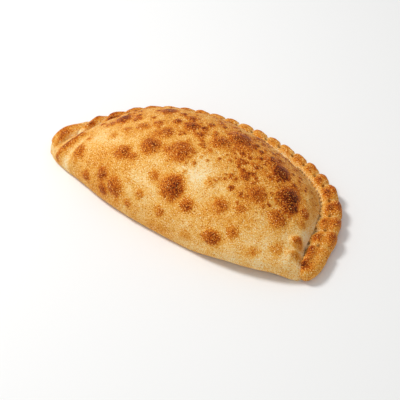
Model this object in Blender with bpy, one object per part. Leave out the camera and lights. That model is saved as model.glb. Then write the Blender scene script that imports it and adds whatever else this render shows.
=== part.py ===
"""A baked calzone: one folded round of dough, domed over its filling and shut with a crimped rim.

The dough lies flat on z = 0. +X runs along the folded side, +Y from the folded side towards the
crimped rim, +Z up. The origin is under the middle of the whole calzone.
"""

import math

import bpy
import numpy as np

# Driving dimensions, in metres.
RIM_HALF_HEIGHT = 0.0070
RIM_CLEARANCE = 0.0003
RIM_END_RADIUS = 0.006
CORNER_FLAP_LENGTH = 0.030
PLEAT_PITCH = 0.0146
GROOVE_HEIGHT = 0.0105
FOLD_BULGE_HEIGHT = 0.008
UNDERSIDE_INSET = 0.0045
UNDER_RIM_REACH = 0.0035
LEAST_SECTION_DEPTH = 0.004

# The folded side lifts off the table before the right corner: by how much, where along it the
# lift starts and ends, and how far in and how far up it reaches.
CORNER_LIFT = 0.0050
LIFT_STARTS = (0.030, 0.070)
LIFT_ENDS = (0.098, 0.118)
LIFT_REACH = 0.024
LIFT_TOP = 0.030

# Near the right corner the dome slopes away to the groove: what share of its height it loses at
# the groove, how far from it, and where along the calzone this starts.
CORNER_EASE = 0.50
EASE_WIDTH = 0.009
EASE_STARTS = (0.082, 0.104)

# Shape of the section and of the pleats, as shares and powers.
PEAK_SHARE = 0.43
FOLDED_OUT_POWER = 0.95
FOLDED_UP_POWER = 0.90
BACK_POWER = 3.6
GROOVE_SHARE = 0.86
RIM_POWER = 0.86
PLEAT_DEPTH = 0.28
PLEAT_LEAN = 0.28
LEAN_TURN = 0.9
INNER_PLEAT_SHARE = 0.30
VALLEY_HALF_WIDTH = 0.17
PLEAT_WANDER = 0.25
WANDER_LENGTH = 0.037
DEEP_PLEATS_END = (0.050, 0.090)
LEAST_END_SHARE = 0.2

# At the thin tips the section's details shrink to these shares of its height or its depth.
MOST_BULGE_SHARE = 0.4
MOST_GROOVE_SHARE = 0.7
MOST_INSET_SHARE = 0.12

# How finely the lines are read and the faceted solids are cut.
LINE_STEPS = 400
SECTIONS = 60
NEAR_LOW_STEPS = 4
NEAR_STEPS = 13
BACK_STEPS = 15
BASE_STEPS = 5
RIM_SECTIONS = 168
RIM_AROUND = 14

# Plan of the folded side's outermost line, from the left tip to the right corner: x, y.
FOLD_LINE = (
    (-0.1234, -0.0467), (-0.1189, -0.0522), (-0.1054, -0.0577), (-0.0819, -0.0615),
    (-0.0544, -0.0669), (-0.0214, -0.0701), (0.0186, -0.0705), (0.0486, -0.0691),
    (0.0766, -0.0641), (0.1006, -0.0560), (0.1166, -0.0477), (0.1201, -0.0437),
)
# The crimped rim, from the right corner round the back to the left tip: x, y, half width.
RIM_STATIONS = (
    (0.1171, -0.0435, 0.0050), (0.1218, -0.0389, 0.0070), (0.1216, -0.0292, 0.0090),
    (0.1182, -0.0177, 0.0106), (0.1157, -0.0057, 0.0106), (0.1113, 0.0088, 0.0103),
    (0.1046, 0.0241, 0.0098), (0.0905, 0.0400, 0.0093), (0.0696, 0.0513, 0.0086),
    (0.0446, 0.0591, 0.0078), (0.0136, 0.0631, 0.0072), (-0.0174, 0.0625, 0.0070),
    (-0.0444, 0.0561, 0.0070), (-0.0674, 0.0465, 0.0072), (-0.0864, 0.0318, 0.0075),
    (-0.0986, 0.0148, 0.0078), (-0.1074, -0.0017, 0.0082), (-0.1161, -0.0157, 0.0085),
    (-0.1220, -0.0307, 0.0084), (-0.1210, -0.0442, 0.0070),
)
# Height of the crown over each section, from the left tip to the right corner: x, z.
CROWN_LINE = (
    (-0.1234, 0.0100), (-0.1074, 0.0178), (-0.0954, 0.0265), (-0.0734, 0.0385),
    (-0.0414, 0.0485), (-0.0044, 0.0510), (0.0326, 0.0495), (0.0646, 0.0430),
    (0.0906, 0.0320), (0.1066, 0.0215), (0.1206, 0.0105),
)
# Folds of dough at the left tip, with a valley between them: both ends of each in plan, its
# height and its half width.
TIP_FOLDS = (
    ((-0.1085, -0.0560), (-0.1005, -0.0340), 0.0042, 0.0048),
    ((-0.0980, -0.0580), (-0.0935, -0.0360), -0.0012, 0.0036),
    ((-0.0900, -0.0560), (-0.0885, -0.0460), 0.0016, 0.0050),
)


def clear_scene():
    for obj in list(bpy.data.objects):
        bpy.data.objects.remove(obj, do_unlink=True)


def smooth_line(points, count):
    """A Catmull-Rom curve through the points, read at count places equally spaced in plan."""
    given = np.array(points, float)
    padded = np.vstack([2 * given[0] - given[1], given, 2 * given[-1] - given[-2]])
    spans = len(given) - 1
    along = np.linspace(0, spans, 40 * spans + 1)
    index = np.minimum(along.astype(int), spans - 1)
    t = (along - index)[:, None]
    a, b, c, d = (padded[index + k] for k in range(4))
    dense = 0.5 * (
        2 * b + (c - a) * t + (2 * a - 5 * b + 4 * c - d) * t**2 + (3 * b - a - 3 * c + d) * t**3
    )
    travelled = np.r_[0, np.cumsum(np.linalg.norm(np.diff(dense[:, :2], axis=0), axis=1))]
    wanted = np.linspace(0, travelled[-1], count)
    return np.stack([np.interp(wanted, travelled, column) for column in dense.T], axis=1)


def smooth_step(low, high, value):
    t = np.clip((value - low) / (high - low), 0, 1)
    return t * t * (3 - 2 * t)


def read_line(points, x):
    """The second value of a line at each x, for a line that runs one way in x."""
    order = np.argsort(points[:, 0])
    return np.interp(x, points[order, 0], points[order, 1])


def rim_frame(count):
    """The rim's centre line, its outward direction in plan and its half width."""
    stations = smooth_line(RIM_STATIONS, count)
    line, half_width = stations[:, :2], stations[:, 2:]
    ahead = np.gradient(line, axis=0)
    ahead /= np.linalg.norm(ahead, axis=1)[:, None]
    outward = np.stack([ahead[:, 1], -ahead[:, 0]], axis=1)
    return line, outward, half_width


def seam_line():
    """Plan of the groove where the dome meets the rim, from its furthest point at the corner."""
    line, outward, half_width = rim_frame(LINE_STEPS)
    seam = line - GROOVE_SHARE * half_width * outward
    return seam[np.argmax(seam[:, 0]):]


def soft_ridge(x, y, start, end, height, half_width):
    """The height of a soft ridge along the straight line from start to end."""
    start, end = np.array(start), np.array(end)
    run = end - start
    share = ((x - start[0]) * run[0] + (y - start[1]) * run[1]) / (run @ run)
    share = np.clip(share, 0, 1)
    away = np.hypot(x - start[0] - share * run[0], y - start[1] - share * run[1])
    return height * np.exp(-((away / half_width) ** 2))


def body_rings():
    """Closed rings of points, one for each section across the calzone, from tip to tip.

    A ring runs from the folded side's contact line out and up its bulge, over the crown, down the
    back to the groove beside the rim, in under the rim and back along the flat base.
    """
    seam = seam_line()
    turn = np.linspace(0, math.pi, SECTIONS + 2)[1:-1]
    fold = smooth_line(FOLD_LINE, LINE_STEPS)
    middle = (fold[0, 0] + fold[-1, 0]) / 2
    x = (middle - (fold[-1, 0] - middle) * np.cos(turn))[:, None]
    near = read_line(fold, x)
    far = np.maximum(read_line(seam, x), near + LEAST_SECTION_DEPTH)
    crown = read_line(smooth_line(CROWN_LINE, LINE_STEPS), x)
    depth = far - near
    peak = near + PEAK_SHARE * depth
    bulge = np.minimum(FOLD_BULGE_HEIGHT, MOST_BULGE_SHARE * crown)
    inset = np.minimum(UNDERSIDE_INSET, MOST_INSET_SHARE * depth)
    groove = np.minimum(GROOVE_HEIGHT, MOST_GROOVE_SHARE * crown)

    low = np.linspace(0, 1, NEAR_LOW_STEPS, endpoint=False)[None, :] * math.pi / 2
    y_low = near + inset * (1 - np.sin(low))
    z_low = bulge * (1 - np.cos(low))

    up = np.linspace(0, 1, NEAR_STEPS, endpoint=False)[None, :] * math.pi / 2
    y_up = peak - (peak - near) * np.cos(up) ** FOLDED_OUT_POWER
    z_up = bulge + (crown - bulge) * np.sin(up) ** FOLDED_UP_POWER

    back = np.linspace(0, 1, BACK_STEPS)[None, :]
    y_back = peak + (far - peak) * back
    z_back = crown - (crown - groove) * back**BACK_POWER

    # Under the rim the dough runs level, then down to the base.
    y_under = far + UNDER_RIM_REACH * np.array([[0.7, 1.0]])
    z_under = groove * np.array([[0.85, 0.0]])

    base = np.linspace(0, 1, BASE_STEPS + 1)[None, 1:-1]
    y_base = y_under[:, 1:] * (1 - base) + (near + inset) * base
    z_base = 0 * y_base

    y = np.hstack([y_low, y_up, y_back, y_under, y_base])
    z = np.hstack([z_low, z_up, z_back, z_under, z_base])
    x = np.broadcast_to(x, y.shape)

    from_groove = np.min(np.hypot(x[..., None] - seam[:, 0], y[..., None] - seam[:, 1]), axis=-1)
    ease = CORNER_EASE * np.exp(-((from_groove / EASE_WIDTH) ** 2)) * smooth_step(*EASE_STARTS, x)
    z = z - ease * np.maximum(z - GROOVE_HEIGHT, 0)

    for start, end, height, half_width in TIP_FOLDS:
        fold_height = soft_ridge(x, y, start, end, height, half_width)
        z = z + fold_height * smooth_step(0.0, FOLD_BULGE_HEIGHT, z)

    beside = smooth_step(*LIFT_STARTS, x) * (1 - smooth_step(*LIFT_ENDS, x))
    inward = 1 - smooth_step(0.0, LIFT_REACH, y - near)
    z = z + CORNER_LIFT * beside * inward * (1 - smooth_step(0.0, LIFT_TOP, z))
    return np.stack([x, y, z], axis=-1)


def rim_rings():
    """Closed rings along the crimped rim, pinched into rounded pleats by narrow valleys."""
    line, outward, half_width = rim_frame(RIM_SECTIONS)
    length = np.linalg.norm(np.diff(line, axis=0), axis=1).sum()
    s = np.linspace(0, length, RIM_SECTIONS)[:, None]
    angle = np.linspace(0, 2 * math.pi, RIM_AROUND, endpoint=False)[None, :]

    # After the long flap at the corner the pleats follow at their pitch, a little uneven, and each
    # leans from its inner side to its outer one.
    past_flap = s - CORNER_FLAP_LENGTH
    pleats = past_flap / PLEAT_PITCH + PLEAT_WANDER * np.sin(past_flap / WANDER_LENGTH)
    phase = np.where(past_flap > 0, pleats, past_flap / CORNER_FLAP_LENGTH)
    phase = phase + PLEAT_LEAN * np.sin(angle - LEAN_TURN)
    to_valley = 0.5 - np.abs(phase % 1 - 0.5)
    valley = np.exp(-((to_valley / VALLEY_HALF_WIDTH) ** 2))
    # The valleys are deep on the outer side and shallow on the inner one, deep all over near the
    # corner, and fade out underneath.
    outwards = smooth_step(-0.6, 0.5, np.cos(angle))
    outer_side = INNER_PLEAT_SHARE + (1 - INNER_PLEAT_SHARE) * outwards
    near_corner = 1 - smooth_step(*DEEP_PLEATS_END, s)
    top_side = smooth_step(-0.9, -0.2, np.sin(angle))
    pinch = 1 - PLEAT_DEPTH * np.maximum(outer_side, near_corner) * top_side * valley

    from_end = np.minimum(s, length - s)
    short_of_round = (1 - from_end / RIM_END_RADIUS).clip(0, 1)
    ends = np.sqrt(1 - short_of_round**2).clip(LEAST_END_SHARE, 1)
    wide = half_width * ends * pinch
    tall = RIM_HALF_HEIGHT * ends * pinch
    out = wide * np.sign(np.cos(angle)) * np.abs(np.cos(angle)) ** RIM_POWER
    rise = tall * np.sign(np.sin(angle)) * np.abs(np.sin(angle)) ** RIM_POWER
    x = line[:, :1] + outward[:, :1] * out
    y = line[:, 1:] + outward[:, 1:] * out
    return np.stack([x, y, RIM_HALF_HEIGHT + RIM_CLEARANCE + rise], axis=-1)


def closed_loft(name, rings):
    """A mesh object through closed rings of equal length, with a point at each end."""
    count, around = rings.shape[:2]
    points = np.vstack([rings.reshape(-1, 3), rings[0].mean(axis=0), rings[-1].mean(axis=0)])
    ring, step = np.meshgrid(np.arange(count - 1), np.arange(around), indexing="ij")
    following = (step + 1) % around
    corners = (
        ring * around + step,
        (ring + 1) * around + step,
        (ring + 1) * around + following,
        ring * around + following,
    )
    sides = np.stack(corners, axis=-1).reshape(-1, 4)
    step = np.arange(around)
    following = (step + 1) % around
    first, last = len(points) - 2, len(points) - 1
    start_cap = np.stack([step, following, np.full(around, first)], axis=1)
    end = (count - 1) * around
    end_cap = np.stack([end + following, end + step, np.full(around, last)], axis=1)
    mesh = bpy.data.meshes.new(name)
    mesh.from_pydata(points.tolist(), [], sides.tolist() + start_cap.tolist() + end_cap.tolist())
    mesh.validate()
    return bpy.data.objects.new(name, mesh)


def baked_dough():
    material = bpy.data.materials.new("baked_dough")
    material.use_nodes = True
    shader = material.node_tree.nodes["Principled BSDF"]
    shader.inputs["Base Color"].default_value = (0.64, 0.33, 0.10, 1.0)
    shader.inputs["Roughness"].default_value = 0.6
    shader.inputs["Metallic"].default_value = 0.0
    return material


def collection(name):
    made = bpy.data.collections.new(name)
    bpy.context.scene.collection.children.link(made)
    return made


def main():
    clear_scene()
    parts = collection("calzone_parts")
    helpers = collection("calzone_helpers")

    calzone = closed_loft("calzone", body_rings())
    parts.objects.link(calzone)
    calzone.data.materials.append(baked_dough())

    rim = closed_loft("crimped_rim", rim_rings())
    helpers.objects.link(rim)
    rim.hide_render = True
    rim.display_type = "WIRE"

    join = calzone.modifiers.new("crimped rim", "BOOLEAN")
    join.operation = "UNION"
    join.solver = "EXACT"
    join.object = rim
    calzone.data.shade_smooth()


main()
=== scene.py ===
import math

import bpy
import numpy as np
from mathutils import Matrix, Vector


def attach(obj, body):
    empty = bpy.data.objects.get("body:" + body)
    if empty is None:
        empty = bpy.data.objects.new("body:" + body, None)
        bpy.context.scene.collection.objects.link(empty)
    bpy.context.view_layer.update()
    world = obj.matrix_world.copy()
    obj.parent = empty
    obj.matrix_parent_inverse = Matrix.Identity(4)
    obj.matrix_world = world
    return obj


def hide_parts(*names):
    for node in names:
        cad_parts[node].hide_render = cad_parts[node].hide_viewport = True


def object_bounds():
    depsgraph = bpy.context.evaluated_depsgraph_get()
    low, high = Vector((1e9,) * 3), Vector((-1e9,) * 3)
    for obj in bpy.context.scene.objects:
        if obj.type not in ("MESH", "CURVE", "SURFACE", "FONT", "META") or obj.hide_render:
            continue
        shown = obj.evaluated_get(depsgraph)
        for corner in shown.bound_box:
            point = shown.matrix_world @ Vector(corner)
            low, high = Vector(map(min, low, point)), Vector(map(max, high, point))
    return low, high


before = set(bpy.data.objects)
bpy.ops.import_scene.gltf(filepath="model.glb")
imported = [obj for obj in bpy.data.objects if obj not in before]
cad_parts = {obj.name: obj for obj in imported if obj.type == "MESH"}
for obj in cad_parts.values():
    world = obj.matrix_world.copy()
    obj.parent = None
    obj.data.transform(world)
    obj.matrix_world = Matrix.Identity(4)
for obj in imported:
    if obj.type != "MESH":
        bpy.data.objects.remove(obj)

# A calzone from a hot oven: a domed crust with brown blisters, shut with a hand-crimped rim.
# +X runs along the folded side, +Y towards the rim, +Z up. Lengths below are in millimetres, and a
# pair of numbers is the start and the end of a soft step unless its note says otherwise.

mm = 0.001
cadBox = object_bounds()
cadLow, cadHigh = np.array(cadBox[0]), np.array(cadBox[1])
print("frame loaded, calzone is", np.round((cadHigh - cadLow) / mm, 1), "mm")

# how finely each line is read, and the noise's own numbers
readings = {"span": 60, "rim": 800, "crown": 600, "fold": 1200, "seamStride": 8}
noise = {
    "tableSize": 8192,
    "mixers": (73856093, 19349663, 83492791),   # large primes, which keep neighbours unlike
    "usualSum": 1.5,        # about what the octaves add up to
}


def smoothLine(points, count):
    # a Catmull-Rom curve through the points, read at count places equally spaced in plan
    given = np.array(points, float)
    padded = np.vstack([2 * given[0] - given[1], given, 2 * given[-1] - given[-2]])
    spans = len(given) - 1
    along = np.linspace(0, spans, readings["span"] * spans + 1)
    index = np.minimum(along.astype(int), spans - 1)
    t = (along - index)[:, None]
    a, b, c, d = (padded[index + k] for k in range(4))
    bend = (2 * a - 5 * b + 4 * c - d) * t**2 + (3 * b - a - 3 * c + d) * t**3
    dense = 0.5 * (2 * b + (c - a) * t + bend)
    steps = np.linalg.norm(np.diff(dense[:, :2], axis=0), axis=1)
    travelled = np.r_[0, np.cumsum(steps)]
    wanted = np.linspace(0, travelled[-1], count)
    return np.stack([np.interp(wanted, travelled, column) for column in dense.T], axis=1)


def softStep(low, high, value):
    # 0 below low, 1 above high, and 3t^2 - 2t^3 between them
    t = np.clip((value - low) / (high - low), 0, 1)
    return t * t * (3 - 2 * t)


def softSpan(start, end, value):
    # a soft step up at the start times a soft step down at the end
    return softStep(*start, value) * (1 - softStep(*end, value))


def bell(value, middle, width):
    # e^(-d^2), where d is the distance from the middle in widths
    return np.exp(-(((value - middle) / width) ** 2))


def readLine(points, x):
    # the line's second value at each x, for a line that runs one way in x
    order = np.argsort(points[:, 0])
    return np.interp(x, points[order, 0], points[order, 1])


def rightOf(line):
    # the unit direction to the right of a line in plan, at each of its points
    ahead = np.gradient(line, axis=0)
    ahead /= np.linalg.norm(ahead, axis=1)[:, None]
    return np.stack([ahead[:, 1], -ahead[:, 0]], axis=1)


def latticeNoise(points, cell, seed):
    # random values at the corners of a cubic lattice, -1 to 1, blended inside each cell by
    # 6t^5 - 15t^4 + 10t^3 in each direction
    table = np.random.default_rng(seed).uniform(-1, 1, noise["tableSize"])
    place = points / cell
    corner = np.floor(place).astype(np.int64)
    t = place - corner
    t = t * t * t * (t * (6 * t - 15) + 10)
    total = np.zeros(points.shape[:-1])
    for step in np.ndindex(2, 2, 2):
        key = (corner + np.array(step)) * np.array(noise["mixers"])
        mixed = key[..., 0] ^ key[..., 1] ^ key[..., 2]
        share = np.where(np.array(step) == 1, t, 1 - t).prod(axis=-1)
        total += share * table[mixed % noise["tableSize"]]
    return total


def cloudNoise(points, cell, seed, octaves):
    # lattice noise added to finer copies of itself, each half as wide and half as strong
    layers = [latticeNoise(points, cell / 2**k, seed + k) / 2**k for k in range(octaves)]
    return sum(layers) / noise["usualSum"]


def clouds(points, layers):
    # cloud noises added up; each layer is its strength, length, seed and number of octaves
    return sum(strength * cloudNoise(points, *layer) for strength, *layer in layers)


# the shape of the dough, as the CAD model has it
dough = {
    # the folded side's outermost line, from the left tip to the right corner: x, y
    "foldLine": (
        (-123.4, -46.7), (-118.9, -52.2), (-105.4, -57.7), (-81.9, -61.5), (-54.4, -66.9),
        (-21.4, -70.1), (18.6, -70.5), (48.6, -69.1), (76.6, -64.1), (100.6, -56.0),
        (116.6, -47.7), (120.1, -43.7),
    ),
    # the rim's centre line, from the right corner round the back to the left tip: x, y, half width
    "rimStations": (
        (117.1, -43.5, 5.0), (121.8, -38.9, 7.0), (121.6, -29.2, 9.0), (118.2, -17.7, 10.6),
        (115.7, -5.7, 10.6), (111.3, 8.8, 10.3), (104.6, 24.1, 9.8), (90.5, 40.0, 9.3),
        (69.6, 51.3, 8.6), (44.6, 59.1, 7.8), (13.6, 63.1, 7.2), (-17.4, 62.5, 7.0),
        (-44.4, 56.1, 7.0), (-67.4, 46.5, 7.2), (-86.4, 31.8, 7.5), (-98.6, 14.8, 7.8),
        (-107.4, -1.7, 8.2), (-116.1, -15.7, 8.5), (-122.0, -30.7, 8.4), (-121.0, -44.2, 7.0),
    ),
    # the crown over each section, from the left tip to the right corner: x, z
    "crownLine": (
        (-123.4, 10.0), (-107.4, 17.8), (-95.4, 26.5), (-73.4, 38.5), (-41.4, 48.5),
        (-4.4, 51.0), (32.6, 49.5), (64.6, 43.0), (90.6, 32.0), (106.6, 21.5), (120.6, 10.5),
    ),
    "rimHalfHeight": 7.0,
    "rimClearance": 0.3,    # between the rim and the table
    "rimEndRadius": 6.0,
    "leastEndShare": 0.2,   # how slim the rim gets at its very ends
    "grooveHeight": 10.5,
    "grooveShare": 0.86,    # the groove's place, in half widths in from the rim's centre line
    "bulgeHeight": 8.0,     # of the folded side's outermost line
    "undersideInset": 4.5,  # how far inside that line the dough meets the table
    "leastDepth": 4.0,      # of a section at the tips
    "peakShare": 0.43,      # the crown's place between the fold and the groove
    "outPower": 0.95,       # with this and the next at 1 the fold is a quarter of an ellipse
    "upPower": 0.90,
    "backPower": 3.6,       # a higher one makes the back slope fuller
    "mostBulgeShare": 0.4,  # at the thin tips: of the crown's height
    "mostGrooveShare": 0.7,
    "mostInsetShare": 0.12,     # and of the section's depth
    "cornerLift": 5.0,      # how far the folded side lifts off the table before the right corner
    "liftStarts": (30, 70),
    "liftEnds": (98, 118),
    "liftReach": 24,
    "liftTop": 30,
}


def rimFrame(stations, count):
    # centre line, outward direction and half width at count places along the stations
    read = smoothLine(stations, count)
    line, halfWidth = read[:, :2], read[:, 2:]
    return line, rightOf(line), halfWidth


def seamLine():
    # plan of the groove beside the rim, from the left tip to its furthest point at the corner
    line, outward, halfWidth = rimFrame(dough["rimStations"], readings["rim"])
    seam = line - dough["grooveShare"] * halfWidth * outward
    return seam[np.argmax(seam[:, 0]):][::-1]


def foldEdge(x):
    # y of the folded side's outermost line at each x
    return readLine(smoothLine(dough["foldLine"], readings["fold"]), x)


def domeHeight(x, y, near, far):
    # from the fold nearly a quarter of an ellipse up to the crown, then a power curve that steepens
    # down to the groove
    crown = readLine(smoothLine(dough["crownLine"], readings["crown"]), x)
    peak = near + dough["peakShare"] * (far - near)
    bulge = np.minimum(dough["bulgeHeight"], dough["mostBulgeShare"] * crown)
    groove = np.minimum(dough["grooveHeight"], dough["mostGrooveShare"] * crown)
    out = np.clip((peak - y) / (peak - near), 0, 1) ** (1 / dough["outPower"])
    rise = bulge + (crown - bulge) * np.sqrt(1 - out**2) ** dough["upPower"]
    back = np.clip((y - peak) / (far - peak), 0, 1)
    fall = crown - (crown - groove) * back ** dough["backPower"]
    return np.where(y < peak, rise, fall)


def cornerLift(x, y, z):
    # a soft span along the folded side, fading out inwards and upwards
    along = softSpan(dough["liftStarts"], dough["liftEnds"], x)
    inward = 1 - softStep(0, dough["liftReach"], y - foldEdge(x))
    return dough["cornerLift"] * along * inward * (1 - softStep(0, dough["liftTop"], z))


def softRidge(x, y, start, end, height, halfWidth):
    # height times a bell curve of the distance from the straight line between start and end
    start, end = np.array(start), np.array(end)
    run = end - start
    share = np.clip(((x - start[0]) * run[0] + (y - start[1]) * run[1]) / (run @ run), 0, 1)
    away = np.hypot(x - start[0] - share * run[0], y - start[1] - share * run[1])
    return height * bell(away, 0, halfWidth)


def gridNormals(points):
    # cross product of the two directions of a grid whose rings are closed, made unit length
    along = np.gradient(points, axis=0)
    around = np.roll(points, -1, axis=1) - np.roll(points, 1, axis=1)
    normal = np.cross(along, around)
    length = np.linalg.norm(normal, axis=-1, keepdims=True)
    return normal / np.maximum(length, 1e-9)    # a floor, so that no length of 0 divides


def gridPiece(name, rings, values):
    # a closed mesh through closed rings, a point at each end, with one attribute for each value
    count, around = rings.shape[:2]
    points = np.vstack([rings.reshape(-1, 3), rings[0].mean(axis=0), rings[-1].mean(axis=0)])
    ring, step = np.meshgrid(np.arange(count - 1), np.arange(around), indexing="ij")
    following = (step + 1) % around
    here, beyond = ring * around, (ring + 1) * around
    quads = np.stack([here + step, beyond + step, beyond + following, here + following], axis=-1)
    step = np.arange(around)
    following = (step + 1) % around
    last = (count - 1) * around
    startCap = np.stack([step, following, np.full(around, len(points) - 2)], axis=1)
    endCap = np.stack([last + following, last + step, np.full(around, len(points) - 1)], axis=1)
    faces = quads.reshape(-1, 4).tolist() + startCap.tolist() + endCap.tolist()
    mesh = bpy.data.meshes.new(name)
    mesh.from_pydata((points * mm).tolist(), [], faces)
    for label, value in values.items():
        layer = mesh.attributes.new(label, "FLOAT", "POINT")
        spread = np.r_[value.reshape(-1), value[0].mean(), value[-1].mean()]
        layer.data.foreach_set("value", spread.astype(np.float32))
    mesh.shade_smooth()
    piece = bpy.data.objects.new(name, mesh)
    bpy.context.scene.collection.objects.link(piece)
    return piece


# small deep holes in the crack between the crust and the rim, which both pieces share
crackHoles = {
    # at the corner: distance along the rim, radius
    "corner": ((12.0, 0.9), (16.5, 1.0), (21.0, 1.1), (25.5, 1.3), (31.0, 1.0)),
    "from": 35.0,           # finer ones follow, up to where the crack closes
    "to": 132.0,
    "spacing": (2.6, 5.2),      # least and most
    "radius": (0.65, 1.00),     # least and most
    "seed": 15,
    "inShare": 0.80,        # their place, in half widths in from the rim's centre line
    "aboveGroove": 1.0,
    "stretch": (1, 1, 1.6),     # they are taller than wide
}


def placeHoles():
    # the corner's holes, then finer ones at random steps along the rim
    rng = np.random.default_rng(crackHoles["seed"])
    holes = list(crackHoles["corner"])
    distance = crackHoles["from"]
    while distance < crackHoles["to"]:
        holes.append((distance, rng.uniform(*crackHoles["radius"])))
        distance += rng.uniform(*crackHoles["spacing"])
    return holes


def holeField(points):
    # 1 in the middle of each hole, a bell curve of the distance around it
    line, outward, halfWidth = rimFrame(dough["rimStations"], readings["rim"])
    along = np.r_[0, np.cumsum(np.linalg.norm(np.diff(line, axis=0), axis=1))]
    height = dough["grooveHeight"] + crackHoles["aboveGroove"]
    depth = np.zeros(points.shape[:-1])
    for distance, radius in placeHoles():
        k = np.searchsorted(along, distance)
        place = line[k] - crackHoles["inShare"] * halfWidth[k] * outward[k]
        fromMiddle = points - np.array([place[0], place[1], height])
        away = np.linalg.norm(fromMiddle / np.array(crackHoles["stretch"]), axis=-1)
        depth = np.maximum(depth, bell(away, 0, radius))
    return depth


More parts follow.
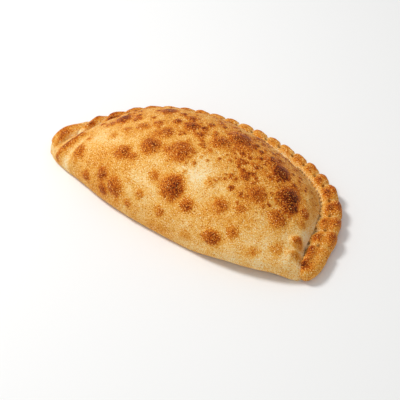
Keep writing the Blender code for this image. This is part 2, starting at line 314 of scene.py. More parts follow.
# the crust: one sheet of dough from the folded side over the filling and down to the groove
crust = {
    "sections": 400,
    "stepsUnderFold": 10,
    "stepsFold": 92,
    "stepsBack": 96,
    "stepsHidden": 4,
    "stepsBase": 26,
    "reachUnderRim": 3.5,
    "reliefSetsIn": (1.0, 8.0),     # by height above the table
    # slow waves and small lumps: height, length, seed, octaves
    "waves": ((0.75, 34.0, 3, 2), (0.28, 7.0, 11, 3)),
    # the left tip's three folds, then the corner's two lobes: start, end, height, half width, browning
    "folds": (
        ((-108.5, -56.0), (-100.5, -34.0), 4.2, 4.8, 0.44),
        ((-98.0, -58.0), (-93.5, -36.0), -1.2, 3.6, -0.14),
        ((-90.0, -56.0), (-88.5, -46.0), 1.6, 5.0, 0.12),
        ((105.0, -31.0), (106.6, -27.5), 3.4, 3.4, 0.24),
        ((108.0, -41.5), (111.0, -37.5), 2.4, 3.2, 0.20),
    ),
    "foldBrownShare": 0.85,     # how wide a fold's brown top is, in half widths of the fold
    "clearOfTip": (-108, -92),  # where the groove and the crack set in
    "grooveDip": 1.2,       # how far the dough is pressed down along the rim
    "grooveWidth": 2.0,
    "crackDepth": 1.0,
    "crackWidth": 0.6,
    "crackNoise": (7.0, 21, 2),     # length, seed, octaves
    "crackOpens": (-0.25, 0.20),    # by that noise
    "holeDepth": 2.2,
    "rightHalf": (40, 80),
    "cornerFill": 1.4,      # how far it swells back up against the rim at the right
    "fillWidth": 3.2,
    "cornerEase": 0.50,     # how much of its height there slopes away to the rim
    "easeWidth": 9.0,
    "easeStarts": (82, 104),
    "paleAndPaintedLightBesideRim": 0.14,  # how much paler the crust is there: paler dough, and painted light on the slope that faces away from the key lamp
    "paleAndPaintedLightWidth": 6.0,
    "ground": 0.25,         # browning where nothing else shows
    # and its clouds: strength, length, seed, octaves
    "groundClouds": ((0.05, 26.0, 61, 2), (0.14, 9.0, 67, 3)),
    "blisterGain": 0.95,
    "blisterFade": 0.45,    # how much less a blister adds where the ground is brown
    # painted shade: how much darker the crack and the holes by the rim are coloured
    "crackPaintedShade": 0.5,
    "holePaintedShade": 1.2,
    # where freckles show: on the right part of the top, and along the back
    "freckleX": ((-30, 20), (96, 106)),
    "freckleY": (-62, -20),
    "backFreckleX": (-95, -70),
    "backFreckleY": (-12, 8),
    # the blisters: place, radius, how brown, how far it stands up
    "blisters": (
        ((7, -52, 42), 10.8, 0.74, 1.2), ((-6, -24, 50), 12.0, 0.56, 1.0),
        ((-30, -31, 48), 8.8, 0.56, 1.0), ((13, 3, 49), 8.5, 0.46, 0.9),
        ((21, 18, 46), 10.5, 0.54, 0.9), ((31, 11, 47), 9.0, 0.34, 0.5),
        ((54, 14, 41), 8.0, 0.50, 0.8), ((64, 10, 39), 8.6, 0.66, 0.9),
        ((82, -4, 35), 9.4, 0.78, 1.1), ((87, -11, 34), 8.0, 0.72, 0.8),
        ((87, -27, 33), 8.4, 0.46, 0.8), ((65, -22, 43), 7.6, 0.38, 0.7),
        ((48, -47, 41), 6.2, 0.44, 0.6), ((31, -35, 48), 5.4, 0.36, 0.5),
        ((25, -57, 37), 6.2, 0.56, 0.6), ((53, -65, 24), 8.2, 0.66, 0.8),
        ((66, -56, 31), 5.4, 0.36, 0.4), ((30, -69, 17), 5.0, 0.22, 0.2),
        ((-12, -51, 42), 4.8, 0.36, 0.4), ((-16, -64, 30), 4.2, 0.30, 0.3),
        ((5, -67, 26), 5.0, 0.36, 0.4), ((-25, -69, 18), 4.0, 0.38, 0.3),
        ((-40, -65, 24), 8.4, 0.50, 0.8), ((-56, -61, 27), 5.8, 0.42, 0.5),
        ((-51, -67, 16), 5.4, 0.50, 0.4), ((-72, -62, 16), 4.8, 0.48, 0.4),
        ((-47, -44, 42), 7.8, 0.46, 0.8), ((-37, -44, 44), 4.2, 0.38, 0.3),
        ((-81, -18, 35), 5.2, 0.52, 0.5), ((-75, -9, 37), 7.6, 0.66, 0.7),
        ((37, -4, 49), 4.0, 0.44, 0.4), ((48, -14, 46), 4.6, 0.42, 0.4),
        ((-46, 15, 43), 7.4, 0.58, 0.6), ((62, -40, 40), 4.0, 0.36, 0.3),
        ((107, -30, 21), 5.6, 0.34, 0.2), ((98, -45, 24), 6.4, 0.28, 0.1),
        ((85, -58, 22), 5.6, 0.28, 0.1), ((111, -40, 17), 4.2, 0.26, 0.0),
        ((-33, 16, 47), 3.6, 0.44, 0.3), ((-50, 0, 46), 2.6, 0.50, 0.2),
        ((-41, -6, 48), 5.0, 0.44, 0.5), ((-30, 4, 49), 4.2, 0.46, 0.5),
        ((-23, 15, 48), 4.4, 0.50, 0.4), ((-16, 6, 50), 6.8, 0.50, 0.6),
        ((-5, 17, 48), 4.0, 0.50, 0.4), ((-7, 9, 50), 3.4, 0.52, 0.3),
        ((-4, 0, 51), 4.0, 0.58, 0.4), ((-51, -14, 46), 5.6, 0.42, 0.4),
        ((-60, -22, 43), 4.4, 0.38, 0.3), ((-63, -6, 43), 4.4, 0.40, 0.3),
        ((-29, -13, 50), 8.0, 0.42, 0.5), ((-17, -5, 51), 2.6, 0.40, 0.2),
        ((-89, -51, 25), 6.6, 0.40, 0.3), ((-89, -38, 31), 3.4, 0.34, 0.2),
        ((4, -8, 51), 3.0, 0.46, 0.3), ((-67, -32, 40), 4.4, 0.28, 0.2),
        ((97, -5, 27), 5.6, 0.42, 0.3), ((100, -14, 25), 5.0, 0.34, 0.2),
    ),
    # how each ring of a blister fades out, in radii, and its share of the browning
    "halo": (0.70, 1.60, 0.34),
    "disc": (0.60, 1.15, 0.40),
    "core": (0.10, 0.85, 0.26),
    "paintedShadeShift": (0.20, 0.08, 0.0),     # in radii, towards the side away from the key lamp: painted shade
    # how uneven a blister's edge is: strength in radii, length, seed, octaves
    "wobble": ((0.16, 6.0, 31, 3), (0.12, 1.8, 47, 2)),
    "liftRadius": 1.1,      # how far out a blister starts to rise, in radii
    "liftGain": 2.2,
    "liftPower": 1.4,
    # small blisters strewn over the top: how many, least and most of each measure, and where
    "smallCount": 210,
    "smallMeasures": ((1.3, 2.7), (0.28, 0.62), (0.15, 0.40)),    # radius, browning, height
    "smallSeed": 29,
    "smallMiddle": (-12, 8),    # where the dense right half meets the sparse left one
    "smallRightEnds": (74, 92),
    "smallRightFront": (-46, -26),
    "smallLeftShare": 0.35,
    "smallLeftStarts": (-100, -80),
    "smallLeftFront": (-22, -8),
    "smallLowest": (16, 26),    # by height above the table
    "bareSpot": (20, -32),      # none lie here: x, y
    "bareRadius": 15,
    # patches that are browner or paler: place, radius, how much browner or paler
    "patches": (
        ((-60, -62, 20), 26, 0.18), ((-92, -12, 30), 26, 0.14), ((-50, 20, 40), 36, 0.10),
        ((8, 18, 47), 40, 0.09), ((55, -18, 45), 30, 0.08), ((85, -10, 34), 38, 0.06),
        ((60, 35, 30), 40, 0.16), ((-40, -25, 47), 22, 0.10), ((20, -32, 48), 17, -0.26),
        ((-75, -30, 36), 20, -0.10), ((-15, -55, 40), 20, -0.06), ((60, -68, 12), 26, -0.06),
        ((102, -46, 20), 18, -0.10), ((102, -10, 20), 10, -0.12), ((108, -20, 15), 9, -0.10),
        ((0, -69, 14), 20, 0.06), ((-104, -57, 10), 14, -0.12), ((100, -28, 25), 13, -0.16),
    ),
}


def crustRings():
    # ruled sections from the folded side's line to the groove's line, each lifted to the dome;
    # below the widest line a quarter turn inwards to the base, then flat back underneath
    fold = smoothLine(dough["foldLine"], crust["sections"])
    denseSeam = seamLine()
    seam = smoothLine(denseSeam[::readings["seamStride"]], crust["sections"])

    # the readings crowd together near the fold, where the dome is steepest
    rise = 1 - np.cos(np.linspace(0, math.pi / 2, crust["stepsFold"], endpoint=False))
    fall = np.linspace(0, 1, crust["stepsBack"])
    peakShare = dough["peakShare"]
    share = np.r_[rise * peakShare, peakShare + (1 - peakShare) * fall][None, :, None]
    plan = fold[:, None, :] * (1 - share) + seam[:, None, :] * share
    near = foldEdge(plan[..., 0])
    far = np.maximum(readLine(denseSeam, plan[..., 0]), near + dough["leastDepth"])
    height = domeHeight(plan[..., 0], plan[..., 1], near, far)
    top = np.concatenate([plan, height[..., None]], axis=-1)

    depth = np.linalg.norm(seam - fold, axis=1)[:, None]
    inwards = ((seam - fold) / depth)[:, None, :]
    inset = np.minimum(dough["undersideInset"], dough["mostInsetShare"] * depth)
    low = np.linspace(0, 1, crust["stepsUnderFold"], endpoint=False)[None, :] * math.pi / 2
    under = fold[:, None, :] + inwards * (inset * (1 - np.sin(low)))[..., None]
    underside = np.concatenate([under, (height[:, :1] * (1 - np.cos(low)))[..., None]], axis=-1)

    # the seam runs the other way from the rim, so outwards is on its left
    reach = np.linspace(0, 1, crust["stepsHidden"] + 1)[None, 1:]
    outwards = -rightOf(seam)[:, None, :] * (crust["reachUnderRim"] * reach)[..., None]
    drop = height[:, -1:] * (1 - reach**2)
    hidden = np.concatenate([seam[:, None, :] + outwards, drop[..., None]], axis=-1)

    back = np.linspace(0, 1, crust["stepsBase"] + 1)[None, 1:-1, None]
    base = hidden[:, -1:, :] * (1 - back) + underside[:, :1, :] * back
    return np.concatenate([underside, top, hidden, base], axis=1)


def strewSmallBlisters(rings):
    # random places of the sheet, drawn by area: most on the right half of the top, few on its left
    # half, and none on the palest patch
    x, y, z = rings[..., 0], rings[..., 1], rings[..., 2]
    right = softSpan(crust["smallMiddle"], crust["smallRightEnds"], x)
    right *= softStep(*crust["smallRightFront"], y)
    left = crust["smallLeftShare"] * (1 - softStep(*crust["smallMiddle"], x))
    left *= softStep(*crust["smallLeftStarts"], x) * softStep(*crust["smallLeftFront"], y)
    bareX, bareY = crust["bareSpot"]
    clear = 1 - bell(np.hypot(x - bareX, y - bareY), 0, crust["bareRadius"])
    high = softStep(*crust["smallLowest"], z)
    wide, deep = (np.linalg.norm(np.gradient(rings, axis=k), axis=-1) for k in (0, 1))
    chance = ((right + left) * clear * high * wide * deep).reshape(-1)
    rng = np.random.default_rng(crust["smallSeed"])
    chosen = rng.choice(len(chance), crust["smallCount"], replace=False, p=chance / chance.sum())
    measures = [rng.uniform(*ends, len(chosen)) for ends in crust["smallMeasures"]]
    return tuple(zip(rings.reshape(-1, 3)[chosen], *measures))


def blisterFields(points, spots):
    # each blister is a soft disc of the distance from its place, with an uneven edge: a wide
    # golden halo, a brown disc and a darker middle, moved towards the side away from the key lamp
    # as painted shade; its lift is a power of 1 - d^2; the strongest blister counts at each point
    wobble = clouds(points, crust["wobble"])
    brown, lift = (np.zeros(points.shape[:-1]) for _ in range(2))
    for place, radius, brownness, height in spots:
        place = np.array(place)
        away = np.linalg.norm(points - place, axis=-1) / radius
        shadedSide = place + np.array(crust["paintedShadeShift"]) * radius
        fromCore = np.linalg.norm(points - shadedSide, axis=-1) / radius
        shade = 0
        for distance, label in ((away, "halo"), (away, "disc"), (fromCore, "core")):
            full, gone, share = crust[label]
            shade += share * (1 - softStep(full, gone, distance + wobble))
        brown = np.maximum(brown, brownness * shade)
        dome = (1 - np.clip(away / crust["liftRadius"], 0, 1) ** 2) ** crust["liftPower"]
        lift = np.maximum(lift, crust["liftGain"] * height * dome)
    return brown, lift


def makeCrust():
    # the plain sheet moved along its normals by waves, blisters, groove, crack and holes, then
    # up or down by the ease, the folds and the lift, with its browning worked out point by point
    plain = crustRings()
    x, y, z = plain[..., 0], plain[..., 1], plain[..., 2]
    above = softStep(*crust["reliefSetsIn"], z)
    blistered, lift = blisterFields(plain, crust["blisters"] + strewSmallBlisters(plain))

    # along the rim the dough is pressed into a groove, with a broken crack at its foot, and at the
    # right it swells back up; each is a bell curve of the distance from the seam
    seamColumn = crust["stepsUnderFold"] + crust["stepsFold"] + crust["stepsBack"] - 1
    fromSeam = np.linalg.norm(plain[..., :2] - plain[:, seamColumn:seamColumn + 1, :2], axis=-1)
    clearOfTip = softStep(*crust["clearOfTip"], x)
    atRight = softStep(*crust["rightHalf"], x)
    dip = crust["grooveDip"] * bell(fromSeam, 0, crust["grooveWidth"]) * clearOfTip
    dip -= crust["cornerFill"] * bell(fromSeam, 0, crust["fillWidth"]) * atRight
    broken = softStep(*crust["crackOpens"], cloudNoise(plain, *crust["crackNoise"]))
    crack = broken * bell(fromSeam, 0, crust["crackWidth"]) * clearOfTip
    holes = holeField(plain)
    relief = clouds(plain, crust["waves"]) + lift - dip
    relief -= crust["crackDepth"] * crack + crust["holeDepth"] * holes
    rings = plain + gridNormals(plain) * (relief * above)[..., None]

    # then the heights: eased towards the rim at the corner, raised along the folds, and lifted
    ease = crust["cornerEase"] * bell(fromSeam, 0, crust["easeWidth"])
    ease *= softStep(*crust["easeStarts"], x)
    rings[..., 2] -= ease * np.maximum(z - dough["grooveHeight"], 0)
    foldTops = np.zeros_like(x)
    for start, end, height, halfWidth, browning in crust["folds"]:
        rings[..., 2] += softRidge(x, y, start, end, height, halfWidth) * above
        brownWidth = crust["foldBrownShare"] * halfWidth
        foldTops += softRidge(x, y, start, end, browning, brownWidth) * above
    rings[..., 2] += cornerLift(x, y, z)

    # the top and the right half took more heat; the folded side and the left stayed pale
    ground = crust["ground"] + clouds(rings, crust["groundClouds"])
    for place, radius, heat in crust["patches"]:
        ground += heat * bell(np.linalg.norm(rings - np.array(place), axis=-1), 0, radius)
    # paler beside the rim at the right: partly the dough's own colour, partly painted light where the
    # slope faces away from the key lamp
    paleAndPaintedLight = crust["paleAndPaintedLightBesideRim"] * bell(fromSeam, 0, crust["paleAndPaintedLightWidth"]) * atRight
    blistered *= crust["blisterGain"] * (1 - crust["blisterFade"] * ground)
    brown = np.clip(ground + blistered + foldTops - paleAndPaintedLight, 0, 1)
    freckles = softSpan(*crust["freckleX"], x) * softStep(*crust["freckleY"], y)
    backFreckles = softStep(*crust["backFreckleY"], y) * softStep(*crust["backFreckleX"], x)
    # painted shade: the colour darkens in the crack and in the holes along the rim
    crease = np.maximum(crust["crackPaintedShade"] * crack, crust["holePaintedShade"] * holes) * above
    return rings, {
        "browning": brown,
        "freckles": np.maximum(freckles, backFreckles),
        "crease": np.clip(crease, 0, 1),
    }


# the rim: both edges of the round pinched together and folded over, pleat by pleat; along is the
# distance from the corner, within is the share of a pleat, and across runs from -1 inside to 1
rim = {
    "sections": 900,
    "around": 104,
    "endStation": (-117.0, -50.4, 4.6),   # the last pleat runs on past the CAD rim, into the tip
    # where each pleat ends, along
    "pleatEnds": (
        0, 31.0, 48.5, 64.5, 81.5, 98.5, 112, 127, 141, 156, 170, 185, 200, 214, 229, 243, 258,
        273, 289, 305, 321, 339, 377,
    ),
    "slim": 0.88,           # the bare section's share of the CAD rim's, before the lobes are added
    "roundPower": 0.86,     # 1 would make the section an ellipse
    "topSide": (-0.75, -0.05),  # where relief sets in round the section, by the sine of the angle
    "leanAtCorner": 2.5,    # how much further along a pleat's outer side lies, at either end
    "leanAtTip": -10.0,
    "leanTurns": (150, 310),
    "flapEnds": (24, 32),   # where the long flap at the corner gives way to pleats
    "cornerEnds": (50, 78),     # where the inner lobes move out onto the rim's top
    "backEase": 0.40,       # how much lower the lobes are along the back
    "backSpan": ((105, 135), (290, 325)),
    "tipStarts": (290, 330),
    # least and most of what differs at random from pleat to pleat
    "seed": 8,
    "strength": (0.7, 1.25),
    "shade": (-0.07, 0.10),
    "shift": (-0.09, 0.09),
    # the lobes: height, then place and width within the pleat, and across
    "innerLobe": (2.3, (0.50, 0.26), (-0.38, 0.32)),
    "outerLobe": (2.0, (0.55, 0.29), (0.62, 0.34)),
    "tipLobe": (1.6, (0.50, 0.26), (0.0, 0.55)),
    "scallop": (2.4, (0.45, 0.28), (-0.90, 0.22)),
    "innerLobeMoves": 0.26,
    "scallopSpan": ((4, 10), (66, 84)),
    "flapRidge": 3.0,
    "ridgeStarts": (0, 6),
    "ridgeAcross": (-0.44, 0.30),   # place and width
    "creaseDepth": 1.5,
    "creaseHalfWidth": 1.4,
    "creaseOuter": (-0.15, 0.25),   # across
    "creaseInner": (-0.30, 0.0),
    "innerCreaseShare": 0.7,
    "innerCreaseFade": 0.75,
    "innerCreaseFades": (50, 80),   # along
    "pitDepth": 2.0,
    "pitRadius": 1.3,
    "pitAcross": -0.06,
    "holeDepth": 2.4,
    "lumps": ((0.40, 6.0, 71, 3), (0.16, 2.2, 83, 2)),  # height, length, seed, octaves
    # browning: what it starts from, and what each detail adds or takes away
    "ground": 0.38,
    "groundClouds": ((0.10, 5.0, 91, 3),),
    "paleTip": 0.06,
    "brownLobes": 0.30,
    "brownTipLobe": 0.26,
    "brownRidge": 0.26,
    "brownCorner": 0.10,
    "brownSpan": ((12, 30), (70, 100)),
    "paleBand": 0.24,
    "bandAcross": (-0.80, -0.30),
    "bandMoves": 0.2,
    "paleCreases": 0.20,
    "darkEnd": 0.34,
    "darkAlong": (4, 7),        # place and width
    "darkAcross": (-0.2, 0.6),
    "freckles": 0.35,
    # painted shade: how much darker the pits between pleats and the holes are coloured
    "pitPaintedShade": 1.1,
    "holePaintedShade": 1.3,
}


def lobe(form, within, across, shift=0.0, move=0.0):
    # a bell curve within the pleat times a bell curve across the rim
    (place, length), (middle, width) = form[1:]
    return bell(within, place + shift, length) * bell(across, middle + move, width)


def makeRim():
    # a rounded section carried along the centre line; each pleat has a lobe on its inner side and
    # one on its outer side, and a crease with a pit in it parts it from the next
    stations = dough["rimStations"] + (rim["endStation"],)
    line, outward, halfWidth = rimFrame(stations, rim["sections"])
    length = np.linalg.norm(np.diff(line, axis=0), axis=1).sum()
    along = np.linspace(0, length, rim["sections"])[:, None]
    angle = np.linspace(0, 2 * math.pi, rim["around"], endpoint=False)[None, :]
    cosine, sine = np.cos(angle), np.sin(angle)
    across = np.sign(cosine) * np.abs(cosine) ** rim["roundPower"]
    topSide = softStep(*rim["topSide"], sine)
    atTip = softStep(*rim["tipStarts"], along)
    flap = 1 - softStep(*rim["flapEnds"], along)
    pastCorner = softStep(*rim["cornerEnds"], along)

    # which pleat each point is in, how far through it, and how far from its nearer end
    turn = softStep(*rim["leanTurns"], along)
    lean = rim["leanAtCorner"] + (rim["leanAtTip"] - rim["leanAtCorner"]) * turn
    ends = np.array(rim["pleatEnds"], float)
    phase = np.interp(along - lean * across, ends, np.arange(len(ends)))
    number = np.minimum(phase.astype(int), len(ends) - 2)
    within = phase - number
    fromEnd = np.minimum(within, 1 - within) * np.diff(ends)[number]
    fromEnd = np.where((number == 0) & (within < 0.5), np.inf, fromEnd)    # no crease at the start

    rng = np.random.default_rng(rim["seed"])
    strength = rng.uniform(*rim["strength"], len(ends))[number] * (1 - flap)
    strength *= 1 - rim["backEase"] * softSpan(*rim["backSpan"], along)
    shade = rng.uniform(*rim["shade"], len(ends))[number]
    shift = rng.uniform(*rim["shift"], len(ends))[number]
    move = rim["innerLobeMoves"] * pastCorner * (1 - atTip)
    inner = lobe(rim["innerLobe"], within, across, shift, move) * strength
    outer = lobe(rim["outerLobe"], within, across, -shift) * strength
    tipLobe = lobe(rim["tipLobe"], within, across) * atTip
    scallop = lobe(rim["scallop"], within, across) * softSpan(*rim["scallopSpan"], along)
    ridge = bell(across, *rim["ridgeAcross"]) * flap * softStep(*rim["ridgeStarts"], along)
    crease = bell(fromEnd, 0, rim["creaseHalfWidth"])
    creaseOut = crease * softStep(*rim["creaseOuter"], across)
    fade = rim["innerCreaseFade"] * softStep(*rim["innerCreaseFades"], along) * (1 - atTip)
    creaseIn = crease * (1 - softStep(*rim["creaseInner"], across)) * (1 - fade)
    fromPit = np.hypot(fromEnd, (across - rim["pitAcross"]) * halfWidth)
    pit = bell(fromPit, 0, rim["pitRadius"]) * (1 - atTip)

    fromTip = np.minimum(along, length - along)
    shortOfRound = (1 - fromTip / dough["rimEndRadius"]).clip(0, 1)
    taper = np.sqrt(1 - shortOfRound**2).clip(dough["leastEndShare"], 1)
    out = rim["slim"] * halfWidth * taper * across
    up = dough["rimHalfHeight"] * taper * np.sign(sine) * np.abs(sine) ** rim["roundPower"]
    up = np.where(up > 0, rim["slim"] * up, up)
    plain = np.stack([
        line[:, :1] + outward[:, :1] * out,
        line[:, 1:] + outward[:, 1:] * out,
        dough["rimHalfHeight"] + dough["rimClearance"] + up,
    ], axis=-1)

    holes = holeField(plain)
    lobes = zip(("innerLobe", "outerLobe", "tipLobe", "scallop"), (inner, outer, tipLobe, scallop))
    relief = sum(rim[name][0] * shape for name, shape in lobes) + rim["flapRidge"] * ridge
    relief -= rim["creaseDepth"] * (creaseOut + rim["innerCreaseShare"] * creaseIn)
    relief -= rim["pitDepth"] * pit + rim["holeDepth"] * holes
    relief = (relief + clouds(plain, rim["lumps"])) * topSide * taper
    rings = plain + gridNormals(plain) * relief[..., None]

    # the lobes' tops browned first, the inner band and the creases stayed pale, the flap's end is
    # the darkest
    brown = rim["ground"] + shade - rim["paleTip"] * atTip + clouds(rings, rim["groundClouds"])
    brown += rim["brownLobes"] * (inner + outer) + rim["brownTipLobe"] * tipLobe
    brown += rim["brownRidge"] * ridge + rim["brownCorner"] * softSpan(*rim["brownSpan"], along)
    bandStart = rim["bandAcross"][0] + rim["bandMoves"] * atTip
    bandEnd = rim["bandAcross"][1] - rim["bandMoves"] * (1 - pastCorner)
    band = 1 - softStep(bandStart, bandEnd, across)
    brown -= (rim["paleBand"] * band + rim["paleCreases"] * (creaseOut + creaseIn)) * topSide
    darkEnd = bell(along, *rim["darkAlong"]) * bell(across, *rim["darkAcross"])
    brown += rim["darkEnd"] * darkEnd * topSide
    # painted shade in the pits between pleats and in the holes
    paintedShade = np.maximum(rim["pitPaintedShade"] * pit * (1 - flap), rim["holePaintedShade"] * holes) * topSide
    return rings, {
        "browning": np.clip(brown, 0, 1),
        "freckles": np.full_like(brown, rim["freckles"]),
        "crease": np.clip(paintedShade, 0, 1),
    }


def fitToFrame(pieces):
    # stretch all the pieces together so that their box is the CAD model's box
    low = np.min([rings.min(axis=(0, 1)) for rings in pieces], axis=0)
    high = np.max([rings.max(axis=(0, 1)) for rings in pieces], axis=0)
    scale = (cadHigh - cadLow) / mm / (high - low)
    return [(rings - low) * scale + cadLow / mm for rings in pieces]


crustGrid, crustValues = makeCrust()
print("crust shaped,", crustGrid.shape[0] * crustGrid.shape[1], "points")
rimGrid, rimValues = makeRim()
print("rim shaped,", rimGrid.shape[0] * rimGrid.shape[1], "points")
crustGrid, rimGrid = fitToFrame([crustGrid, rimGrid])
crustPiece = gridPiece("crust", crustGrid, crustValues)
rimPiece = gridPiece("crimpedRim", rimGrid, rimValues)


# colours and finish of the baked dough
bakedDough = {
    # browning, colour
    "ramp": (
        (0.00, "fee6b8"), (0.14, "fbce7e"), (0.30, "f0ad46"), (0.45, "e08c26"),
        (0.60, "ce6914"), (0.72, "b04c09"), (0.84, "8a3506"), (0.93, "662503"), (1.00, "461602"),
    ),
    # the colour of the painted shade in cracks, pits and holes, and how strongly it shows
    "paintedShadeColour": "6b3510",
    "paintedShadeGain": 0.85,
    # each noise: length, detail, roughness; real flour is finer, and is drawn coarse enough to show
    "mottle": (2.6, 4.0, 0.62),
    "grain": (0.75, 2.0, 0.6),
    # pale specks: flour on the pale dough, and painted glints on the brown, where they show most
    "flourAndGlint": (0.9, 1.0, 0.5),
    # how strongly each shows: how much more on the brownest dough, and on the palest
    "mottleGain": (0.55, 0.08),
    "grainGain": (0.6, 1.0),
    "flourAndGlintGain": (0.55, 0.10),
    "flourAndGlintShows": (0.58, 0.72),     # by the noise of the flour specks and painted glints
    "pitsShow": (0.40, 0.28),
    "pitGain": 0.34,
    "warpLength": 3.0,      # what makes the freckles' outlines uneven
    "warpShift": 5.0,
    "freckleSize": 4.0,
    "freckleFades": (0.06, 0.58),   # in sizes, from the middle
    "freckleChosen": (0.15, 0.60),
    "freckleGain": 0.18,
    "bumpDepth": 1.2,
    "mottleRelief": 0.6,
    "grainRelief": 0.65,
    "freckleRelief": 0.5,
    "glossSpan": (0.2, 0.9),        # browning over which the roughness changes
    "roughness": (0.62, 0.38),      # on pale dough, on brown blisters
    "ior": 1.45,
    "specular": 0.09,
    "subsurface": 0.08,
    "subsurfaceDepth": 2.0,
    "subsurfaceRadius": (1.0, 0.45, 0.2),
}


def linearColour(text):
    # sRGB hex to linear light, channel by channel
    value = np.array([int(text[k:k + 2], 16) for k in (0, 2, 4)]) / 255
    linear = np.where(value <= 0.04045, value / 12.92, ((value + 0.055) / 1.055) ** 2.4)
    return (*linear.tolist(), 1.0)


def addNode(tree, kind, settings=None, inputs=None):
    # one node with its settings; an input is a number, a colour or another node's output
    node = tree.nodes.new(kind)
    for name, value in (settings or {}).items():
        setattr(node, name, value)
    for name, value in (inputs or {}).items():
        socket = node.inputs[name]
        if isinstance(value, bpy.types.NodeSocket):
            tree.links.new(value, socket)
        else:
            socket.default_value = value
    return node


def ovenBakedWheatDough(name, look):
    # wheat dough baked on stone in a hot oven: a dry, finely grained skin, pale where it was
    # dusted with flour, golden where it caught the heat, brown and a little glossy on blisters
    material = bpy.data.materials.new(name)
    material.use_nodes = True
    tree = material.node_tree
    tree.nodes.clear()
    add, subtract, multiply = ({"operation": kind} for kind in ("ADD", "SUBTRACT", "MULTIPLY"))
    multiplyAdd = {"operation": "MULTIPLY_ADD"}
    smooth = {"interpolation_type": "SMOOTHSTEP"}
    coords = addNode(tree, "ShaderNodeTexCoord").outputs["Object"]
    # crease carries the painted shade of cracks, pits and holes
    browning, freckles, crease = (
        addNode(tree, "ShaderNodeAttribute", {"attribute_name": label}).outputs["Fac"]
        for label in ("browning", "freckles", "crease")
    )

    # a noise's scale is cells per metre, so 1 / length; each gain grows with the browning
    noises, gains = {}, {}
    for label in ("mottle", "grain", "flourAndGlint"):
        size, detail, roughness = look[label]
        noises[label] = addNode(tree, "ShaderNodeTexNoise", {}, {
            "Vector": coords, "Scale": 1 / (size * mm), "Detail": detail, "Roughness": roughness,
        }).outputs["Fac"]
        slope, least = look[label + "Gain"]
        gains[label] = addNode(tree, "ShaderNodeMath", multiplyAdd, {
            0: browning, 1: slope, 2: least,
        }).outputs[0]
    flourAndGlint, pitted = (
        addNode(tree, "ShaderNodeMapRange", smooth, {
            "Value": noises["flourAndGlint"], "From Min": start, "From Max": end,
        }).outputs["Result"]
        for start, end in (look["flourAndGlintShows"], look["pitsShow"])
    )

    # freckles: cells of a shifted pattern, some of them dark in the middle
    warp = addNode(tree, "ShaderNodeTexNoise", {}, {
        "Vector": coords, "Scale": 1 / (look["warpLength"] * mm), "Detail": 3.0,
    }).outputs["Color"]
    shift = addNode(tree, "ShaderNodeVectorMath", {"operation": "SCALE"}, {
        0: warp, "Scale": look["warpShift"] * mm,
    }).outputs["Vector"]
    warped = addNode(tree, "ShaderNodeVectorMath", add, {0: coords, 1: shift}).outputs["Vector"]
    cell = addNode(tree, "ShaderNodeTexVoronoi", {"feature": "F1"}, {
        "Vector": warped, "Scale": 1 / (look["freckleSize"] * mm),
    })
    spot = addNode(tree, "ShaderNodeMapRange", smooth, {
        "Value": cell.outputs["Distance"], "From Min": look["freckleFades"][0],
        "From Max": look["freckleFades"][1], "To Min": 1.0, "To Max": 0.0,
    }).outputs["Result"]
    lot = addNode(tree, "ShaderNodeSeparateColor", {}, {"Color": cell.outputs["Color"]})
    chosen = addNode(tree, "ShaderNodeMapRange", smooth, {
        "Value": lot.outputs["Red"], "From Min": look["freckleChosen"][0],
        "From Max": look["freckleChosen"][1],
    }).outputs["Result"]
    freckle = addNode(tree, "ShaderNodeMath", multiply, {0: spot, 1: chosen}).outputs[0]
    freckle = addNode(tree, "ShaderNodeMath", multiply, {0: freckle, 1: freckles}).outputs[0]

    # the mottle and the grain spread the browning both ways, freckles and pits darken it, and
    # flour specks lighten it, most on the brown, where they are painted glints
    total = browning
    for label in ("mottle", "grain"):
        centred = addNode(tree, "ShaderNodeMath", subtract, {0: noises[label], 1: 0.5}).outputs[0]
        spread = addNode(tree, "ShaderNodeMath", multiply, {0: centred, 1: gains[label]}).outputs[0]
        total = addNode(tree, "ShaderNodeMath", add, {0: total, 1: spread}).outputs[0]
    total = addNode(tree, "ShaderNodeMath", multiplyAdd, {
        0: freckle, 1: look["freckleGain"], 2: total,
    }).outputs[0]
    dustedAndGlinting = addNode(tree, "ShaderNodeMath", multiply, {0: flourAndGlint, 1: gains["flourAndGlint"]}).outputs[0]
    total = addNode(tree, "ShaderNodeMath", subtract, {0: total, 1: dustedAndGlinting}).outputs[0]
    total = addNode(tree, "ShaderNodeMath", {**multiplyAdd, "use_clamp": True}, {
        0: pitted, 1: look["pitGain"], 2: total,
    }).outputs[0]

    ramp = addNode(tree, "ShaderNodeValToRGB", {}, {"Fac": total})
    stops = ramp.color_ramp.elements
    while len(stops) < len(look["ramp"]):
        stops.new(0.5)
    for stop, (place, colour) in zip(stops, look["ramp"]):
        stop.position = place
        stop.color = linearColour(colour)
    # painted shade: the colour is pulled towards the shade colour in cracks, pits and holes
    shadow = addNode(tree, "ShaderNodeMath", {**multiply, "use_clamp": True}, {
        0: crease, 1: look["paintedShadeGain"],
    }).outputs[0]
    # a colour mix has its two colours at inputs 6 and 7, and its result at output 2
    shadowed = addNode(tree, "ShaderNodeMix", {"data_type": "RGBA"}, {
        "Factor": shadow, 6: ramp.outputs["Color"], 7: linearColour(look["paintedShadeColour"]),
    }).outputs[2]

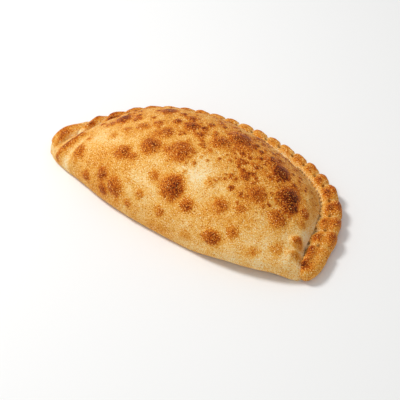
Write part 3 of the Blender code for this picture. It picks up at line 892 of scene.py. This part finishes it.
    reliefs = ((noises["mottle"], "mottleRelief"), (noises["grain"], "grainRelief"),
               (freckle, "freckleRelief"))
    relief = 0.0
    for height, label in reliefs:
        relief = addNode(tree, "ShaderNodeMath", multiplyAdd, {
            0: height, 1: look[label], 2: relief,
        }).outputs[0]
    bump = addNode(tree, "ShaderNodeBump", {}, {
        "Strength": 1.0, "Distance": look["bumpDepth"] * mm, "Height": relief,
    }).outputs["Normal"]
    rough = addNode(tree, "ShaderNodeMapRange", {}, {
        "Value": total, "From Min": look["glossSpan"][0], "From Max": look["glossSpan"][1],
        "To Min": look["roughness"][0], "To Max": look["roughness"][1],
    }).outputs["Result"]
    shader = addNode(tree, "ShaderNodeBsdfPrincipled", {}, {
        "Base Color": shadowed, "Roughness": rough, "Normal": bump, "IOR": look["ior"],
        "Specular IOR Level": look["specular"], "Subsurface Weight": look["subsurface"],
        "Subsurface Scale": look["subsurfaceDepth"] * mm,
        "Subsurface Radius": look["subsurfaceRadius"],
    })
    addNode(tree, "ShaderNodeOutputMaterial", {}, {"Surface": shader.outputs["BSDF"]})
    return material


for piece, label in ((crustPiece, "ovenBakedCrust"), (rimPiece, "ovenBakedRim")):
    piece.data.materials.append(ovenBakedWheatDough(label, bakedDough))
    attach(piece, "root")
    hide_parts("calzone")
print("dough baked")


# a plain pale floor, soft light from the upper left, and the camera; places here are in metres
studio = {
    "floorColour": "f4f4f3",
    "floorRoughness": 0.7,
    "floorSpecular": 0.2,
    "floorReach": 3.0,
    "worldColour": "ffffff",
    "worldStrength": 0.50,
    # the lamps: place, diameter, watts
    "lamps": {
        "keyFromUpperLeft": ((-0.70, -0.20, 1.10), 0.40, 11.25),
        "fillFromFront": ((0.5, -0.9, 0.9), 1.0, 1),
    },
    "lampsAimAt": (0, 0, 0.02),
    "target": (0.00914, -0.018416, 0.0),
    "azimuth": 36.0,
    "elevation": 45.0,
    "distance": 0.85,
    "frameWidth": 0.3232,   # what the picture takes in at the target
    "sensorWidth": 36,      # millimetres
    "clipStart": 0.01,
}


def makeFloor():
    mesh = bpy.data.meshes.new("floor")
    reach = studio["floorReach"]
    corners = [(-reach, -reach, 0), (reach, -reach, 0), (reach, reach, 0), (-reach, reach, 0)]
    mesh.from_pydata(corners, [], [(0, 1, 2, 3)])
    floor = bpy.data.objects.new("floor", mesh)
    bpy.context.scene.collection.objects.link(floor)
    # board with a coat of pale matt paint: even, with hardly any shine
    material = bpy.data.materials.new("paintedBoard")
    material.use_nodes = True
    shader = material.node_tree.nodes["Principled BSDF"]
    shader.inputs["Base Color"].default_value = linearColour(studio["floorColour"])
    shader.inputs["Roughness"].default_value = studio["floorRoughness"]
    shader.inputs["Specular IOR Level"].default_value = studio["floorSpecular"]
    mesh.materials.append(material)


def aim(obj, spot, at):
    # turn the object at spot so that its -Z axis points at the other place
    direction = np.array(at) - np.array(spot)
    obj.location = spot
    flat = math.hypot(direction[0], direction[1])
    tilt, heading = math.atan2(flat, -direction[2]), math.atan2(-direction[0], direction[1])
    obj.rotation_euler = (tilt, 0, heading)


def makeLamp(name, spot, size, power):
    lamp = bpy.data.lights.new(name, "AREA")
    lamp.shape = "DISK"
    lamp.size = size
    lamp.energy = power
    obj = bpy.data.objects.new(name, lamp)
    bpy.context.scene.collection.objects.link(obj)
    aim(obj, spot, studio["lampsAimAt"])


def makeCamera():
    # at a distance from the target, turned about +Z from the front and raised above the table
    around, up = math.radians(studio["azimuth"]), math.radians(studio["elevation"])
    level = math.cos(up)
    back = np.array([math.sin(around) * level, -math.cos(around) * level, math.sin(up)])
    spot = np.array(studio["target"]) + studio["distance"] * back
    lens = bpy.data.cameras.new("camera")
    lens.sensor_width = studio["sensorWidth"]
    lens.lens = studio["sensorWidth"] * studio["distance"] / studio["frameWidth"]
    lens.clip_start = studio["clipStart"]
    camera = bpy.data.objects.new("camera", lens)
    bpy.context.scene.collection.objects.link(camera)
    aim(camera, spot.tolist(), studio["target"])
    bpy.context.scene.camera = camera


def makeWorld():
    world = bpy.data.worlds.new("whiteStudio")
    world.use_nodes = True
    background = world.node_tree.nodes["Background"]
    background.inputs["Color"].default_value = linearColour(studio["worldColour"])
    background.inputs["Strength"].default_value = studio["worldStrength"]
    bpy.context.scene.world = world


makeFloor()
for lampName, lampValues in studio["lamps"].items():
    makeLamp(lampName, *lampValues)
makeCamera()
makeWorld()
bpy.context.scene.view_settings.view_transform = "Standard"
print("studio set")
